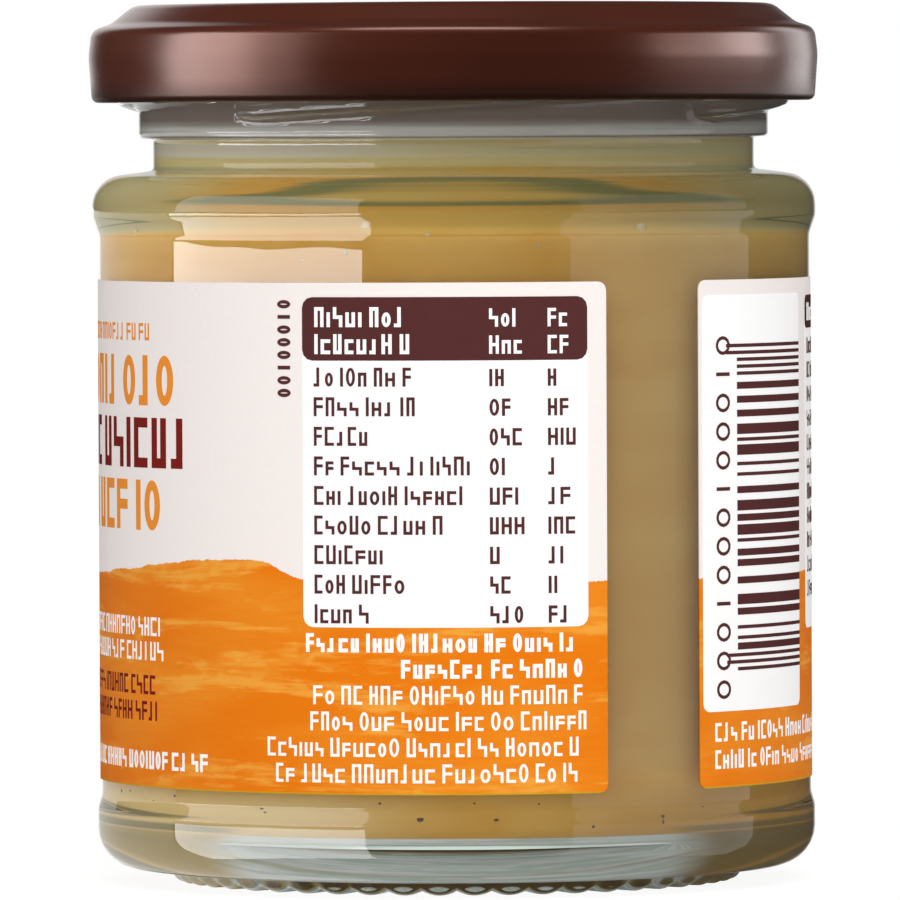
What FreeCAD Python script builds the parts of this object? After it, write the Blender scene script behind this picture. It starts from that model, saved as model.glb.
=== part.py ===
import FreeCAD, Part
import math
import operator
import os
from types import SimpleNamespace

import Sketcher

# A squat jar of cashew butter with a twist-off lid, in millimetres.
# +Z is up, the origin is the middle of the foot on the table, and -Y is the front.
# Four pieces: the glass jar, the butter in it, the sheet-metal lid and the label round the body.

SIZES = [
    # alias, value, meaning
    ("overall_height", 83.2, "table to the top of the lid"),
    ("body_radius", 34.38, "glass at its widest, just below the shoulder"),
    ("wall", 2.6, "glass of the body beside the label"),
    ("panel_inset", 0.6, "label panel inside the body radius"),
    ("heel_inset", 0.22, "widest part of the heel inside the body radius"),
    ("heel_height", 8.35, "where the heel meets the label panel"),
    ("heel_band", 1.3, "height over which the heel runs in to the panel"),
    ("heel_round", 3.7, "rounding of the bottom corner"),
    ("sole_height", 1.4, "underside of the glass outside the foot"),
    ("shoulder_band", 3.65, "widest band below the shoulder edge"),
    ("shoulder_run", 1.8, "height over which the panel runs out to the band"),
    ("shoulder_round", 3.0, "rounding of the shoulder edge"),
    ("shoulder_rise", 0.75, "rise of the shoulder from its edge to the neck"),
    ("foot_radius", 24.6, "middle of the ring that the jar stands on"),
    ("foot_width", 4.1, "width of that ring"),
    ("foot_edge", 0.9, "how far each side of the ring spreads upwards"),
    ("push_up", 2.4, "rise of the bottom inside the ring"),
    ("push_up_rim", 2.6, "width of the slope from the ring to the raised bottom"),
    ("knurl_count", 50, "lumps round the ring"),
    ("knurl_depth", 0.45, "depth of the grooves between the lumps"),
    ("knurl_crown", 3.25, "radius of a lump across its top"),
    ("floor_height", 5.0, "top of the glass bottom inside"),
    ("floor_round", 7.0, "rounding inside the bottom"),
    ("inner_shoulder_drop", 2.85, "inner shoulder below the outer one"),
    ("inner_shoulder_rise", 2.7, "height of the inner shoulder slope"),
    ("inner_round", 3.5, "rounding inside the shoulder"),
    ("finish_radius", 29.9, "wall that carries the threads"),
    ("finish_height", 12.3, "rim down to the ledge above the neck"),
    ("neck_depth", 1.35, "how far the neck lies inside the finish"),
    ("neck_height", 3.1, "height of the neck between the ledge and the shoulder"),
    ("rim_width", 3.5, "glass of the finish, from the mouth to its outside"),
    ("rim_round", 1.2, "rounding of the rim"),
    ("thread_count", 4, "separate leads"),
    ("thread_depth", 2.0, "how far the threads stand out of the finish"),
    ("thread_drop", 9.66, "rim down to the low end of a thread"),
    ("thread_lead", 10.5, "rise of a thread in one full turn"),
    ("thread_span", 96, "degrees that each thread takes"),
    ("thread_start", -131.5, "angle of the low end of the first thread"),
    ("thread_crest", 0.6, "half the height of a thread at its crest"),
    ("thread_root", 1.3, "half the height of a thread at its root"),
    ("thread_sink", 0.6, "depth of its root in the wall"),
    ("thread_nose", 8, "degrees over which the rounded end of a thread swells"),
    ("butter_drop", 6.0, "rim down to the top of the butter"),
    ("sheet", 0.25, "sheet metal of the lid"),
    ("seal_gap", 0.05, "room between the rim and the lid"),
    ("panel_recess", 0.8, "lid's middle below its raised edge"),
    ("panel_slope", 1.0, "width of the step from the middle to the edge"),
    ("button_radius", 9.0, "raised disc in the middle of the lid"),
    ("button_rise", 0.25, "height of that disc"),
    ("ridge_width", 4.4, "flat ridge of the lid over the rim"),
    ("skirt_gap", 2.55, "room between the threads and the skirt"),
    ("corner_drop", 2.35, "ridge down to the corner over the skirt"),
    ("dome_drop", 1.75, "ridge down to the end of its slope"),
    ("dome_width", 2.2, "width of that slope"),
    ("skirt_bulge_drop", 4.8, "ridge down to the widest part of the skirt"),
    ("skirt_tuck", 0.27, "how far the foot of the skirt draws in"),
    ("curl_radius", 0.65, "rolled edge at the foot of the skirt"),
    ("lug_room", 1.4, "room between the finish and the inner end of a lug"),
    ("lug_thickness", 0.7, "height of a lug"),
    ("lug_span", 12, "degrees that a lug takes"),
    ("lug_turn", 83, "middle of a lug past the low end of its thread"),
    ("lug_gap", 0.05, "room between a lug and the thread above it"),
    ("label_bottom", 9.8, "lower edge of the label"),
    ("label_margin", 4.1, "top of the label below the top of the panel"),
    ("label_thickness", 0.12, "paper of the label"),
    ("label_gap", 18.5, "degrees left bare between the label's ends"),
    ("label_start", -45.6, "angle of the label's first end"),
    ("label_round", 0.8, "corners of the label"),
]

THREAD_SECTIONS = 11

doc = FreeCAD.newDocument("cashew_butter_jar")
sheet = doc.addObject("Spreadsheet::Sheet", "Sizes")
for row, (alias, value, meaning) in enumerate(SIZES, start=1):
    sheet.set(f"A{row}", meaning)
    sheet.set(f"B{row}", str(value))
    sheet.setAlias(f"B{row}", alias)
doc.recompute()


class Size:
    """A number together with the formula that ties it to the sheet."""

    def __init__(self, number, formula):
        self.number = number
        self.formula = formula

    def __add__(self, other):
        return combine(self, "+", other)

    def __sub__(self, other):
        return combine(self, "-", other)

    def __mul__(self, other):
        return combine(self, "*", other)

    def __truediv__(self, other):
        return combine(self, "/", other)


WORKINGS = {"+": operator.add, "-": operator.sub, "*": operator.mul, "/": operator.truediv}


def as_size(value):
    """Take a Size as it is and wrap a plain number."""
    return value if isinstance(value, Size) else Size(value, repr(value))


def combine(left, sign, right):
    """Work out two sizes and keep the formula beside the number."""
    left = as_size(left)
    right = as_size(right)
    number = WORKINGS[sign](left.number, right.number)
    return Size(number, f"({left.formula} {sign} {right.formula})")


s = SimpleNamespace(**{alias: Size(sheet.get(alias), f"Sizes.{alias}") for alias, _, _ in SIZES})

# Heights and radii that several pieces share.
rim_height = s.overall_height - s.sheet - s.seal_gap
neck_foot = rim_height - s.finish_height - s.neck_height
shoulder_edge = neck_foot - s.shoulder_rise
panel_top = shoulder_edge - s.shoulder_band - s.shoulder_run
panel_radius = s.body_radius - s.panel_inset
heel_radius = s.body_radius - s.heel_inset
foot_inner = s.foot_radius - s.foot_width / 2
foot_outer = s.foot_radius + s.foot_width / 2
inner_radius = panel_radius - s.wall
bore_radius = s.finish_radius - s.rim_width
neck_radius = s.finish_radius - s.neck_depth
thread_radius = s.finish_radius + s.thread_depth
lug_radius = s.finish_radius + s.lug_room
inner_shoulder = neck_foot - s.inner_shoulder_drop - s.inner_shoulder_rise
butter_top = rim_height - s.butter_drop
rim_middle = (bore_radius + s.finish_radius) / 2
skirt_radius = thread_radius + s.skirt_gap + s.sheet

# A lug lies just under the flank of its thread, and its underside is level with the lid's lower edge.
thread_low = rim_height - s.thread_drop
flank_share = (thread_radius - lug_radius) / (thread_radius - s.finish_radius + s.thread_sink)
flank_height = s.thread_crest + (s.thread_root - s.thread_crest) * flank_share
lug_low_end = s.lug_turn - s.lug_span / 2
lug_top = thread_low + s.thread_lead * lug_low_end / 360 - flank_height - s.lug_gap
lid_bottom = lug_top - s.lug_thickness


def new_body(name):
    """A body whose label is the name of its file."""
    body = doc.addObject("PartDesign::Body", name)
    body.Label = name
    body.Placement = FreeCAD.Placement()
    return body


def axis_of(body, role):
    """One of the body's own origin planes or axes."""
    found = [item for item in body.Origin.OriginFeatures if item.Role == role]
    return found[0]


def new_sketch(body, name, turn=None, lift=None):
    """A sketch on a plane through the jar's axis: first radius, then height."""
    sketch = body.newObject("Sketcher::SketchObject", name)
    sketch.AttachmentSupport = [(axis_of(body, "XZ_Plane"), "")]
    sketch.MapMode = "FlatFace"
    if turn is not None:
        turn = as_size(turn)
        lift = as_size(lift if lift is not None else 0)
        turned = FreeCAD.Rotation(FreeCAD.Vector(0, 1, 0), turn.number)
        lifted = FreeCAD.Vector(0, lift.number, 0)
        sketch.AttachmentOffset = FreeCAD.Placement(lifted, turned)
        sketch.setExpression("AttachmentOffset.Rotation.Angle", turn.formula)
        sketch.setExpression("AttachmentOffset.Base.y", lift.formula)
    return sketch


def fix(sketch, kind, where, value, name):
    """Hold one measure of a sketch and tie it to the sheet."""
    value = as_size(value)
    if kind == "Radius":
        number = sketch.addConstraint(Sketcher.Constraint(kind, where, value.number))
    else:
        number = sketch.addConstraint(Sketcher.Constraint(kind, -1, 1, where, 1, value.number))
    sketch.renameConstraint(number, name)
    if "Sizes." in value.formula:
        sketch.setExpression(f"Constraints.{name}", value.formula)


def draw_outline(sketch, corners):
    """A closed outline through corners of radius, height and rounding."""
    count = len(corners)
    points = [FreeCAD.Vector(as_size(x).number, as_size(z).number, 0) for x, z, _ in corners]
    for i, point in enumerate(points):
        sketch.addGeometry(Part.LineSegment(point, points[(i + 1) % count]), False)
    for i in range(count):
        sketch.addConstraint(Sketcher.Constraint("Coincident", i, 2, (i + 1) % count, 1))
    for i, (x, z, _) in enumerate(corners):
        fix(sketch, "DistanceX", i, x, f"across{i}")
        fix(sketch, "DistanceY", i, z, f"up{i}")
    for i, (_, _, rounding) in enumerate(corners):
        if rounding:
            arc = sketch.GeometryCount
            sketch.fillet(i, 1, as_size(rounding).number, True, True)
            fix(sketch, "Radius", arc, rounding, f"round{i}")


def draw_circle(sketch, x, z, radius):
    """A circle held by its middle and radius."""
    middle = FreeCAD.Vector(as_size(x).number, as_size(z).number, 0)
    circle = Part.Circle(middle, FreeCAD.Vector(0, 0, 1), as_size(radius).number)
    sketch.addGeometry(circle, False)
    for kind, value, name in (("DistanceX", x, "across"), ("DistanceY", z, "up")):
        value = as_size(value)
        number = sketch.addConstraint(Sketcher.Constraint(kind, -1, 1, 0, 3, value.number))
        sketch.renameConstraint(number, name)
        sketch.setExpression(f"Constraints.{name}", value.formula)
    fix(sketch, "Radius", 0, radius, "radius")


def spin(body, sketch, name, angle=360.0, midplane=False, axis="V_Axis"):
    """Turn a sketch about the jar's axis, or about another line of the sketch."""
    feature = body.newObject("PartDesign::Revolution", name)
    feature.Profile = sketch
    feature.ReferenceAxis = (sketch, [axis])
    angle = as_size(angle)
    feature.Angle = angle.number
    feature.Midplane = midplane
    if "Sizes." in angle.formula:
        feature.setExpression("Angle", angle.formula)
    return feature


def repeat_round(body, feature, name, count):
    """Set copies of one feature evenly round the jar's axis."""
    pattern = body.newObject("PartDesign::PolarPattern", name)
    pattern.Originals = [feature]
    pattern.Axis = (axis_of(body, "Z_Axis"), [""])
    pattern.Angle = 360.0
    pattern.Occurrences = int(count.number)
    pattern.setExpression("Occurrences", count.formula)
    body.Tip = pattern
    return pattern


# The inside of the glass, from the mouth down to the middle of its floor.
inner_corners = [
    (bore_radius, neck_foot - s.inner_shoulder_drop, s.inner_round),
    (inner_radius, inner_shoulder, s.inner_round),
    (inner_radius, s.floor_height, s.floor_round),
    (0, s.floor_height, 0),
]


def make_jar():
    """Glass: a wall turned from one section, four threads and a knurled foot."""
    body = new_body("glass_jar")
    section = new_sketch(body, "wall_section")
    foot_bottom = s.knurl_depth
    panel_low = s.heel_height
    draw_outline(section, [
        (0, s.push_up, 0),
        (foot_inner - s.push_up_rim, s.push_up, 2.0),
        (foot_inner, foot_bottom, 0.6),
        (foot_outer, foot_bottom, 0.8),
        (foot_outer + s.foot_edge, s.sole_height, 0.5),
        (heel_radius, s.sole_height, s.heel_round),
        (heel_radius, panel_low - s.heel_band, 2.0),
        (panel_radius, panel_low, 2.0),
        (panel_radius, panel_top, 2.0),
        (s.body_radius, panel_top + s.shoulder_run, 2.0),
        (s.body_radius, shoulder_edge, s.shoulder_round),
        (neck_radius, neck_foot, 0.5),
        (neck_radius, neck_foot + s.neck_height - 0.1, 0.2),
        (s.finish_radius, neck_foot + s.neck_height, 0.4),
        (s.finish_radius, rim_height, s.rim_round),
        (bore_radius, rim_height, s.rim_round),
    ] + inner_corners)
    spin(body, section, "wall")

    # One thread is a loft of sections that climb round the finish, closer together at its round ends.
    sections = []
    root = s.finish_radius - s.thread_sink
    for i in range(THREAD_SECTIONS):
        share = (1 - math.cos(math.pi * i / (THREAD_SECTIONS - 1))) / 2
        to_end = s.thread_span.number * min(share, 1 - share)
        short_of_full = max(0.0, 1 - to_end / s.thread_nose.number)
        swell = round(math.sqrt(1 - short_of_full ** 2), 4)
        crest = s.finish_radius + s.thread_depth * swell - 0.1 * (1 - swell)
        slimness = 0.6 + 0.4 * swell
        turn = s.thread_start + s.thread_span * share
        climb = thread_low + s.thread_lead * s.thread_span / 360 * share
        sketch = new_sketch(body, f"thread_section_{i}", turn, climb)
        draw_outline(sketch, [
            (root, s.thread_root * -slimness, 0),
            (crest, s.thread_crest * -slimness, 0.25),
            (crest, s.thread_crest * slimness, 0.25),
            (root, s.thread_root * slimness, 0),
        ])
        sections.append(sketch)
    thread = body.newObject("PartDesign::AdditiveLoft", "thread")
    thread.Profile = sections[0]
    thread.Sections = sections[1:]
    repeat_round(body, thread, "threads", s.thread_count)

    # A lump of the foot is part of a barrel that lies along a radius.
    lump = new_sketch(body, "knurl_section", 0, s.knurl_crown)
    lump_top = s.knurl_crown * -1 + s.knurl_depth * 2.7
    draw_outline(lump, [
        (foot_inner - 0.35, lump_top, 0),
        (foot_inner + 0.35, s.knurl_crown * -1, 0),
        (foot_outer - 0.35, s.knurl_crown * -1, 0),
        (foot_outer + s.foot_edge, lump_top, 0),
    ])
    knurl = spin(body, lump, "knurl", 64.0, midplane=True, axis="H_Axis")
    repeat_round(body, knurl, "knurls", s.knurl_count)
    return body


def make_butter():
    """Butter: it fills the inside of the glass up to its own level."""
    body = new_body("cashew_butter")
    section = new_sketch(body, "butter_section")
    draw_outline(section, [(0, butter_top, 0), (bore_radius, butter_top, 0)] + inner_corners)
    spin(body, section, "fill")
    return body


def make_lid():
    """Lid: sheet metal with a ridge over the rim, a rolled lower edge and four lugs."""
    body = new_body("twist_lid")
    top = s.overall_height
    middle = top - s.panel_recess
    ridge_inner = rim_middle - s.ridge_width / 2
    ridge_outer = rim_middle + s.ridge_width / 2
    foot_of_skirt = skirt_radius - s.skirt_tuck
    curl_middle = lid_bottom + s.curl_radius
    section = new_sketch(body, "lid_section")
    draw_outline(section, [
        (0, middle + s.button_rise, 0),
        (s.button_radius, middle + s.button_rise, 1.5),
        (s.button_radius + 1.4, middle, 1.5),
        (ridge_inner - s.panel_slope, middle, 0.7),
        (ridge_inner, top, 0.7),
        (ridge_outer, top, 2.0),
        (ridge_outer + s.dome_width, top - s.dome_drop, 2.0),
        (skirt_radius - 0.3, top - s.corner_drop, 1.2),
        (skirt_radius, top - s.skirt_bulge_drop, 6.0),
        (foot_of_skirt, curl_middle, 0),
        (0, curl_middle, 0),
    ])
    blank = spin(body, section, "blank")
    doc.recompute()
    open_side = [
        f"Face{i}" for i, face in enumerate(blank.Shape.Faces, start=1)
        if abs(face.BoundBox.ZMax - curl_middle.number) < 1e-6
    ]
    shell = body.newObject("PartDesign::Thickness", "pressed_sheet")
    shell.Base = (blank, open_side)
    shell.Value = s.sheet.number
    shell.setExpression("Value", s.sheet.formula)
    shell.Reversed = True
    body.Tip = shell

    curl = new_sketch(body, "curl_section")
    draw_circle(curl, foot_of_skirt - s.curl_radius, curl_middle, s.curl_radius)
    spin(body, curl, "curl")

    lug = new_sketch(body, "lug_section", s.thread_start + s.lug_turn, 0)
    draw_outline(lug, [
        (lug_radius, lid_bottom, 0.25),
        (foot_of_skirt - s.curl_radius, lid_bottom, 0),
        (foot_of_skirt - s.curl_radius, lug_top, 0),
        (lug_radius, lug_top, 0.25),
    ])
    first = spin(body, lug, "lug", s.lug_span, midplane=True)
    repeat_round(body, first, "lugs", s.thread_count)
    return body


def make_label():
    """Label: one strip of paper round the panel, open where its ends don't meet."""
    body = new_body("wrap_label")
    outside = panel_radius + s.label_thickness
    label_top = panel_top - s.label_margin
    section = new_sketch(body, "label_section", s.label_start, 0)
    draw_outline(section, [
        (panel_radius, s.label_bottom, 0),
        (outside, s.label_bottom, 0),
        (outside, label_top, 0),
        (panel_radius, label_top, 0),
    ])
    strip = spin(body, section, "strip", Size(360.0, "360") - s.label_gap)
    doc.recompute()
    corners = [
        f"Edge{i}" for i, edge in enumerate(strip.Shape.Edges, start=1)
        if abs(edge.Length - s.label_thickness.number) < 1e-4
    ]
    rounded = body.newObject("PartDesign::Fillet", "rounded_corners")
    rounded.Base = (strip, corners)
    rounded.Radius = s.label_round.number
    rounded.setExpression("Radius", s.label_round.formula)
    body.Tip = rounded
    return body


pieces = [make_jar(), make_butter(), make_lid(), make_label()]
doc.recompute()

for item in doc.Objects:
    if "Invalid" in item.State or "Error" in item.State:
        raise RuntimeError(f"{item.Label} failed: {item.State}")
for piece in pieces:
    if piece.Shape.isNull() or not piece.Shape.isValid():
        raise RuntimeError(f"{piece.Label} has no valid shape")
    if len(piece.Shape.Solids) != 1:
        raise RuntimeError(f"{piece.Label} is {len(piece.Shape.Solids)} solids")

os.makedirs("parts", exist_ok=True)
for piece in pieces:
    piece.Shape.exportStep(f"parts/{piece.Label}.step")
    box = piece.Shape.BoundBox
    volume = piece.Shape.Volume / 1000
    print(f"{piece.Label}: {volume:.2f} ml, z {box.ZMin:.2f} to {box.ZMax:.2f}, radius {box.XMax:.2f}")
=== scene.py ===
import math

import bmesh
import bpy
from mathutils import Matrix, Vector


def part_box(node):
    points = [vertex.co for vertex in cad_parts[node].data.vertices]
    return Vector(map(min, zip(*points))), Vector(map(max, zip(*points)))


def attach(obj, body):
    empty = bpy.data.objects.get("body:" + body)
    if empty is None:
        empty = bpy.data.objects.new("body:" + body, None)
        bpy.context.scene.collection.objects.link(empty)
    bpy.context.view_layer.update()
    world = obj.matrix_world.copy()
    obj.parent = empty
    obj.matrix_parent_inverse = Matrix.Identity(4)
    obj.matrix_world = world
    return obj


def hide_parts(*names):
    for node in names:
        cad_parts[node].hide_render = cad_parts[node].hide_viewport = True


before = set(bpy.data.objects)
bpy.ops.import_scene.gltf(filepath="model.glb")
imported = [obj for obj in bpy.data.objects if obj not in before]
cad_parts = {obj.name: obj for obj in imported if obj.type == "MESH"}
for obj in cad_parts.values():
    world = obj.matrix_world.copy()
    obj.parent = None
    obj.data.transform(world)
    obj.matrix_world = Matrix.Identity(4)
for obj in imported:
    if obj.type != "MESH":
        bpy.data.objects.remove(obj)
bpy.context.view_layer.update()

# A squat glass jar of cashew butter with a twist-off lid and a printed label.
# Shapes are made in millimetres and brought to metres when a piece is finished.

MM = 0.001
FULL_TURN = 2 * math.pi


def span(node):
    """Lowest and highest corner of a solid, in millimetres."""
    low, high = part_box(node)
    return Vector(low) / MM, Vector(high) / MM


# ---------------------------------------------------------------- sizes

jar_high = span("glass_jar")[1]
butter_low, butter_high = span("cashew_butter")
lid_low, lid_high = span("twist_lid")
label_low, label_high = span("wrap_label")

BODY = jar_high.x
RIM = jar_high.z
FLOOR = butter_low.z
BUTTER_TOP = butter_high.z
INSIDE = butter_high.x
LID_TOP = lid_high.z
LID_FOOT = lid_low.z
SKIRT = lid_high.x

# Angles of the label are in degrees: the start from +X, the middle of the gap from the front,
# and the slope of the painted strokes.
LABEL_THICK = 0.12
LABEL_OUT = BODY - 0.48
LABEL_START = -47.9
LABEL_SWEEP = 342.4
LABEL_ROUND = 0.8
GAP_MIDDLE = 33.3
STROKE_SLOPE = 12
FRONT = math.radians(180 - GAP_MIDDLE) * LABEL_OUT
PANEL = LABEL_OUT - LABEL_THICK
INK_LEVEL = 0.018

NECK_FOOT = RIM - 15.4
LEDGE = RIM - 12.3
FINISH = 29.9
NECK = FINISH - 1.35
BORE = FINISH - 3.5
THREAD_DEPTH = 2.0
THREAD_SPAN = 96.0
THREAD_START = -131.5
THREAD_LEAD = 10.5
THREAD_LOW = RIM - 9.66
THREAD_NOSE = 8.0
LEADS = 4
PANEL_TOP = NECK_FOOT - 6.2
HEEL_TOP = 8.35
KNURLS = 50
KNURL_CROWN = 3.25
KNURL_HEIGHT = 1.3
FOOT_IN = 22.55
FOOT_OUT = 26.65
TURN_STEPS = 400


# ---------------------------------------------------------------- shapes

def rounded(corners, steps=7):
    """Points of an outline whose corners are radius, height and rounding."""
    points = []
    for i, (x, z, rounding) in enumerate(corners):
        here = Vector((x, z))
        if not rounding:
            points.append(here)
            continue
        back = (Vector(corners[i - 1][:2]) - here).normalized()
        ahead = (Vector(corners[(i + 1) % len(corners)][:2]) - here).normalized()
        half = back.angle(ahead) / 2
        reach = rounding / math.tan(half)
        middle = here + (back + ahead).normalized() * rounding / math.sin(half)
        start = here + back * reach - middle
        sweep = (here + ahead * reach - middle).angle_signed(start)
        for k in range(steps + 1):
            turned = start.copy()
            turned.rotate(Matrix.Rotation(sweep * k / steps, 2))
            points.append(middle + turned)
    return points


def divided(points, low, high, step):
    """Add points where an outline runs between two heights."""
    result = []
    for here, there in zip(points, points[1:] + points[:1]):
        result.append(here)
        inside = min(here.y, there.y) >= low and max(here.y, there.y) <= high
        count = int((there - here).length / step) if inside else 0
        result.extend(here.lerp(there, (k + 1) / (count + 1)) for k in range(count))
    return result


def spin_outline(points, closed=True, steps=TURN_STEPS):
    """Turn an outline of radius and height about the upright axis."""
    bm = bmesh.new()
    verts = [bm.verts.new((point.x, 0, point.y)) for point in points]
    pairs = list(zip(verts, verts[1:] + verts[:1])) if closed else list(zip(verts, verts[1:]))
    edges = [bm.edges.new(pair) for pair in pairs if pair[0].co.x + pair[1].co.x > 1e-6]
    # An eighth is spun, then doubled three times.
    wedge = FULL_TURN / 8
    bmesh.ops.spin(bm, geom=verts + edges, cent=(0, 0, 0), axis=(0, 0, 1), dvec=(0, 0, 0),
                   angle=wedge, steps=steps // 8, use_merge=False, use_duplicate=False)
    for doubling in range(3):
        twin = bmesh.ops.duplicate(bm, geom=bm.verts[:] + bm.edges[:] + bm.faces[:])["geom"]
        moved = [part for part in twin if isinstance(part, bmesh.types.BMVert)]
        bmesh.ops.rotate(bm, verts=moved, cent=(0, 0, 0), matrix=Matrix.Rotation(wedge, 3, "Z"))
        wedge *= 2
    bmesh.ops.remove_doubles(bm, verts=bm.verts, dist=0.0005)
    bmesh.ops.recalc_face_normals(bm, faces=bm.faces)
    return bm


def finish_piece(bm, name, material, sharp=35.0, materials=()):
    """Bring a shape to metres and make it a piece that rides on the jar."""
    for edge in bm.edges:
        if len(edge.link_faces) == 2:
            edge.smooth = edge.calc_face_angle(0.0) < math.radians(sharp)
    for face in bm.faces:
        face.smooth = True
    bmesh.ops.scale(bm, vec=(MM, MM, MM), verts=bm.verts)
    mesh = bpy.data.meshes.new(name)
    bm.to_mesh(mesh)
    bm.free()
    for one in (material,) + tuple(materials):
        mesh.materials.append(one)
    piece = bpy.data.objects.new(name, mesh)
    bpy.context.scene.collection.objects.link(piece)
    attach(piece, "root")
    return piece


def turned_by(degrees):
    """A turn about the upright axis."""
    return Matrix.Rotation(math.radians(degrees), 3, "Z")


def angle_of(co):
    """Degrees round the axis, from +X towards +Y."""
    return math.degrees(math.atan2(co.y, co.x))


def ease(value):
    """Smooth step from 0 to 1."""
    value = min(1.0, max(0.0, value))
    return value * value * (3 - 2 * value)


# ---------------------------------------------------------------- shader nodes

class Wire:
    """A socket of a finish; a sum of wires becomes Math nodes."""

    def __init__(self, finish, socket):
        self.finish = finish
        self.socket = socket

    def _math(self, operation, left, right):
        return self.finish.add("ShaderNodeMath", {"operation": operation}, {0: left, 1: right})[0]

    def __add__(self, other):
        return self._math("ADD", self, other)

    def __radd__(self, other):
        return self._math("ADD", other, self)

    def __sub__(self, other):
        return self._math("SUBTRACT", self, other)

    def __rsub__(self, other):
        return self._math("SUBTRACT", other, self)

    def __mul__(self, other):
        return self._math("MULTIPLY", self, other)

    def __rmul__(self, other):
        return self._math("MULTIPLY", other, self)

    def __truediv__(self, other):
        return self._math("DIVIDE", self, other)

    def __rtruediv__(self, other):
        return self._math("DIVIDE", other, self)

    def __gt__(self, other):
        return self._math("GREATER_THAN", self, other)


class Made:
    """A new node, whose outputs are read by name or number."""

    def __init__(self, finish, node):
        self.finish = finish
        self.node = node

    def __getitem__(self, key):
        return Wire(self.finish, self.node.outputs[key])


class Finish:
    """The nodes of a material or of the world."""

    def __init__(self, owner):
        owner.use_nodes = True
        self.owner = owner
        self.tree = owner.node_tree
        self.tree.nodes.clear()

    def add(self, kind, settings=None, inputs=None):
        node = self.tree.nodes.new(kind)
        for key, value in (settings or {}).items():
            setattr(node, key, value)
        for key, value in (inputs or {}).items():
            self.feed(node.inputs[key], value)
        return Made(self, node)

    def feed(self, socket, value):
        if isinstance(value, Wire):
            self.tree.links.new(value.socket, socket)
        else:
            socket.default_value = value

    def place(self):
        """Object coordinates in metres."""
        return self.add("ShaderNodeTexCoord")["Object"]

    def split(self, vector):
        return self.add("ShaderNodeSeparateXYZ", None, {0: vector})

    def join(self, x, y, z=0.0):
        return self.add("ShaderNodeCombineXYZ", None, {0: x, 1: y, 2: z})[0]

    def length(self, vector):
        return self.add("ShaderNodeVectorMath", {"operation": "LENGTH"}, {0: vector})[1]

    def absolute(self, value):
        return self.add("ShaderNodeMath", {"operation": "ABSOLUTE"}, {0: value})[0]

    def mix(self, share, first, second):
        """The second colour over the first, by share."""
        return self.add("ShaderNodeMix", {"data_type": "RGBA"}, {0: share, 6: first, 7: second})[2]

    def ramp(self, value, low, high):
        """0 below low, 1 above high, smooth between."""
        return self.add("ShaderNodeMapRange", {"interpolation_type": "SMOOTHSTEP"},
                        {0: value, 1: low, 2: high, 3: 0.0, 4: 1.0})[0]

    def below(self, value, low, high):
        """1 below low, 0 above high, smooth between."""
        return 1 - self.ramp(value, low, high)

    def between(self, value, first, full, fade, last):
        """1 from full to fade, falling to 0 at first and last."""
        return self.ramp(value, first, full) * self.below(value, fade, last)

    def noise(self, place, scale, detail=3.0, rough=0.5, distort=0.0, slope=0.0, shift=(0, 0, 0)):
        """Noise that is scaled apart along each axis; the slope tips it, in degrees."""
        turn = (0, 0, -math.radians(slope))
        mapped = self.add("ShaderNodeMapping", None,
                          {"Vector": place, "Location": shift, "Rotation": turn, "Scale": scale})[0]
        return self.plain_noise(mapped, detail, rough, distort)

    def plain_noise(self, place, detail, rough, distort):
        return self.add("ShaderNodeTexNoise", None, {
            "Vector": place, "Scale": 1.0, "Detail": detail, "Roughness": rough, "Distortion": distort})[0]

    def bump(self, height, strength, distance):
        return self.add("ShaderNodeBump", None,
                        {"Height": height, "Strength": strength, "Distance": distance})[0]

    def surface(self, volume=None, **values):
        """End in one Principled surface; names are socket names with _ for a space."""
        inputs = {key.replace("_", " "): value for key, value in values.items()}
        shader = self.add("ShaderNodeBsdfPrincipled", None, inputs)
        ends = {"Surface": shader[0]}
        if volume is not None:
            ends["Volume"] = volume
        self.add("ShaderNodeOutputMaterial", None, ends)
        return self.owner


def new_finish(name):
    return Finish(bpy.data.materials.new(name))


def colour(red, green, blue):
    """A display colour of 0 to 255 as the linear colour that a socket takes."""
    def linear(value):
        value /= 255
        return value / 12.92 if value <= 0.04045 else ((value + 0.055) / 1.055) ** 2.4
    return (linear(red), linear(green), linear(blue), 1.0)


# ---------------------------------------------------------------- finishes

def clear_glass():
    """Clear glass, a little green where it is thick, with a slow sway in the body's surface."""
    finish = new_finish("clear_glass")
    place = finish.place()
    sway = finish.noise(place, (30, 30, 22), 2.0)
    body_only = finish.below(finish.split(place)[2] / MM, 65.2, 67.0)
    volume = finish.add("ShaderNodeVolumeAbsorption", None,
                        {"Color": (0.40, 0.50, 0.43, 1), "Density": 22.0})[0]
    return finish.surface(volume, Base_Color=(0.985, 1.0, 0.99, 1), Roughness=0.0, IOR=1.5,
                          Transmission_Weight=1.0, Normal=finish.bump(sway * body_only, 0.35, 0.0006))


class ButterPlaces:
    """Heights, sides and patterns that the tones and the painted light and shade of the butter follow, in
    millimetres.
    """

    def __init__(self, finish):
        place = finish.place()
        parts = finish.split(place)
        self.clouds = finish.noise(place, (55, 55, 75), 3.0, 0.55)
        self.layers = finish.noise(place, (10, 10, 260), 2.0, 0.6)
        self.patches = finish.noise(place, (95, 95, 130), 2.0, 0.6, shift=(2, 5, 1))
        self.streaks = finish.noise(place, (25, 25, 1500), 3.0, 0.6)
        self.height = parts[2] / MM
        self.cloudy_height = self.height + (self.clouds - 0.5) * 0.4
        self.level_height = self.height + (self.layers - 0.5) * 0.12
        self.aside = parts[0] / MM
        self.off_middle = finish.absolute(self.aside)
        self.behind = parts[1] / MM
        self.radius = finish.length(finish.join(parts[0], parts[1])) / MM


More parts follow.
